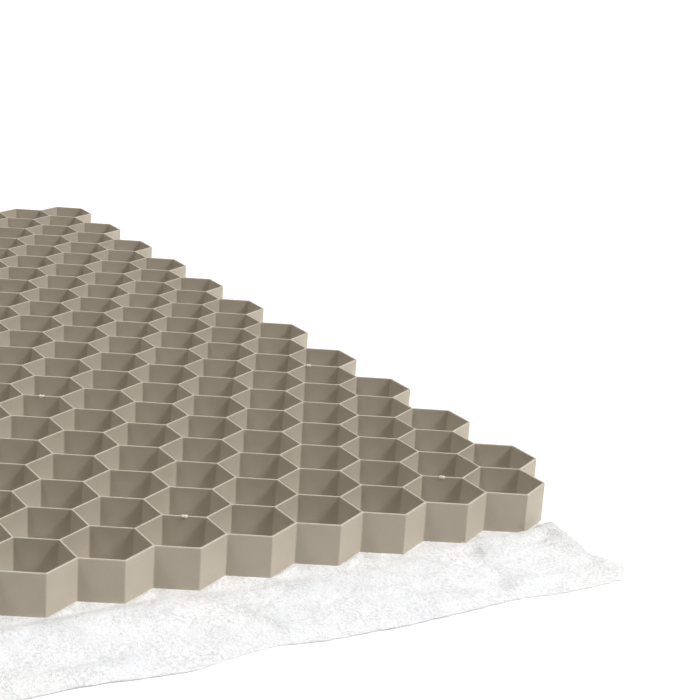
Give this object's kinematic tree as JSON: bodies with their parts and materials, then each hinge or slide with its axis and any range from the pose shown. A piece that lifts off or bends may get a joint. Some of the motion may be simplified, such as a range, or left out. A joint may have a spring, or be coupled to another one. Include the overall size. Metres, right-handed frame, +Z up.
{
  "type": "gravel grid panel",
  "caption": "Flat honeycomb panel of open hexagonal plastic cells bonded to a white fleece sheet with an overlap flap; it is filled with gravel to make firm ground.",
  "frame": {"origin": "middle of the whole outline, fleece flap included, on the floor under the fleece", "axes": "+X along the rows of cells, +Y across the rows and away from the fleece flap, +Z up through the open cells"},
  "size_m": [1.2002, 1.0784, 0.03],
  "materials": {
    "grid_plastic": "moulded polypropylene, taupe, fine matt with a faint sheen",
    "fleece": "white needled non-woven fleece"
  },
  "bodies": {
    "root": {"honeycomb_band_1": "grid_plastic", "honeycomb_band_2": "grid_plastic", "honeycomb_band_3": "grid_plastic", "honeycomb_band_4": "grid_plastic", "fleece_sheet": "fleece"}
  },
  "joints": []
}
